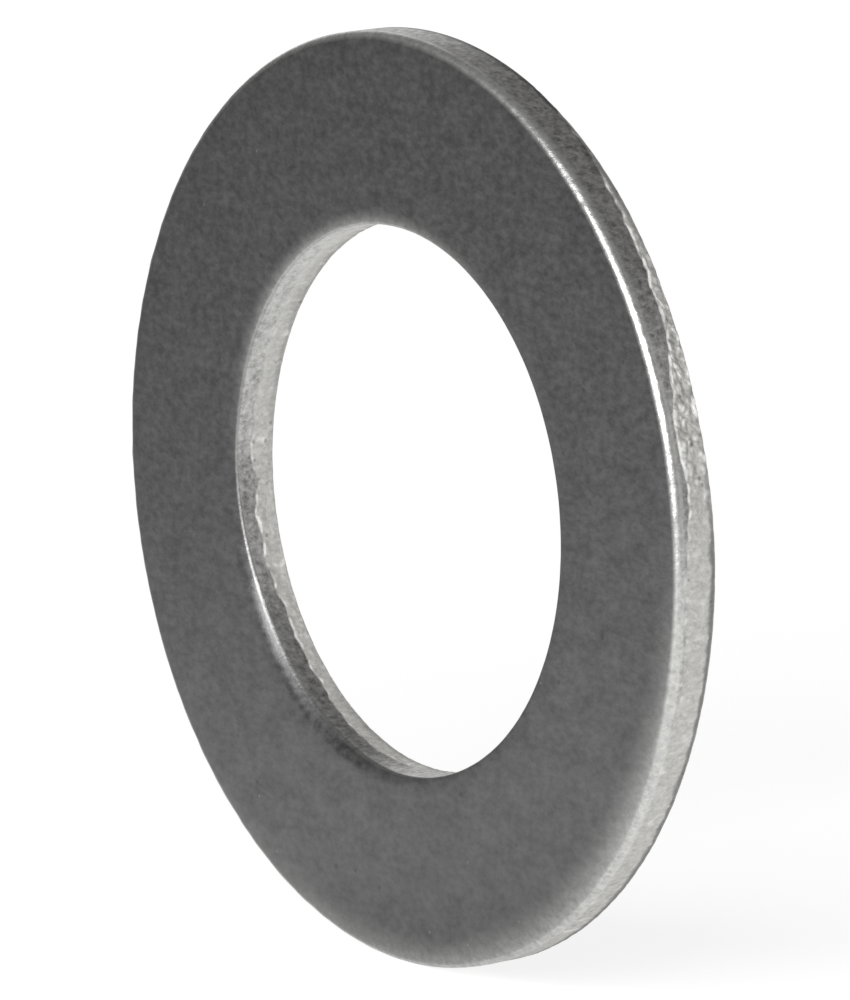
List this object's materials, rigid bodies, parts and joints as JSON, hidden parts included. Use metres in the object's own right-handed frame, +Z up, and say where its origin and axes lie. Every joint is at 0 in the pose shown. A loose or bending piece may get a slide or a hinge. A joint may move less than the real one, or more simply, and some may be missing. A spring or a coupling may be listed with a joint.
{
  "type": "flat washer",
  "caption": "Thin flat stamped steel ring with a round bore, rolled front edges and a torn, slightly ragged back edge, that spreads the load of a bolt head or nut.",
  "frame": {"origin": "on the bore axis, at mid thickness", "axes": "+Y along the bore axis from the front face (rolled edges) to the back face (torn edges), +Z up with the ring standing on its rim, +X completes the right-handed set"},
  "size_m": [0.039, 0.002, 0.039],
  "materials": {
    "steel": "stamped and barrel-tumbled, satin faces with brighter sheared edges"
  },
  "bodies": {
    "root": {"washer": "steel"}
  },
  "joints": []
}
